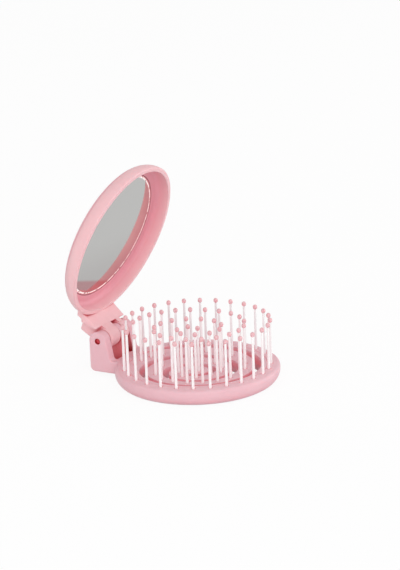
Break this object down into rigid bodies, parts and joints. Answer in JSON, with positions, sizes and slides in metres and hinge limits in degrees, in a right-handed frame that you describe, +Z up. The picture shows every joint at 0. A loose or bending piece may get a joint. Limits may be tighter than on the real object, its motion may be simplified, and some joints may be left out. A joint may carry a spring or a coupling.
{
  "type": "folding hairbrush with mirror",
  "caption": "Round pocket hairbrush with ball-tipped bristles on a dished spiral plate and a hinged lid that holds a round mirror.",
  "frame": {"origin": "centre of the flat underside of the base, on the surface it rests on", "axes": "+Z up, towards the bristle tips; +Y towards the hinge; the hinge pin lies along X, so +X is to the right when the brush is seen from its front"},
  "size_m": [0.07, 0.0885, 0.0908],
  "materials": {
    "pink_plastic": "satin",
    "red_pink_plastic": "satin",
    "white_plastic": "translucent",
    "tip_pink": "glossy",
    "mirror": "polished",
    "adhesive": "matte"
  },
  "bodies": {
    "base": {"base_frame": "pink_plastic", "spiral_plate": "pink_plastic", "back_plate": "pink_plastic", "hinge_pin": "red_pink_plastic", "outer_turn_shafts": "white_plastic", "outer_turn_tips": "tip_pink", "inner_turn_shafts": "white_plastic", "inner_turn_tips": "tip_pink", "centre_shafts": "white_plastic", "centre_tips": "tip_pink", "rim_shafts": "white_plastic", "rim_tips": "tip_pink"},
    "lid": {"lid_shell": "pink_plastic", "mirror_glass": "mirror", "mirror_adhesive": "adhesive"}
  },
  "joints": [
    {"name": "lid_hinge", "type": "hinge", "parent": "base", "child": "lid", "pos_m": [0, 0.0421, 0.0154], "axis": [-1, 0, 0], "range_deg": [-68, 112]}
  ]
}
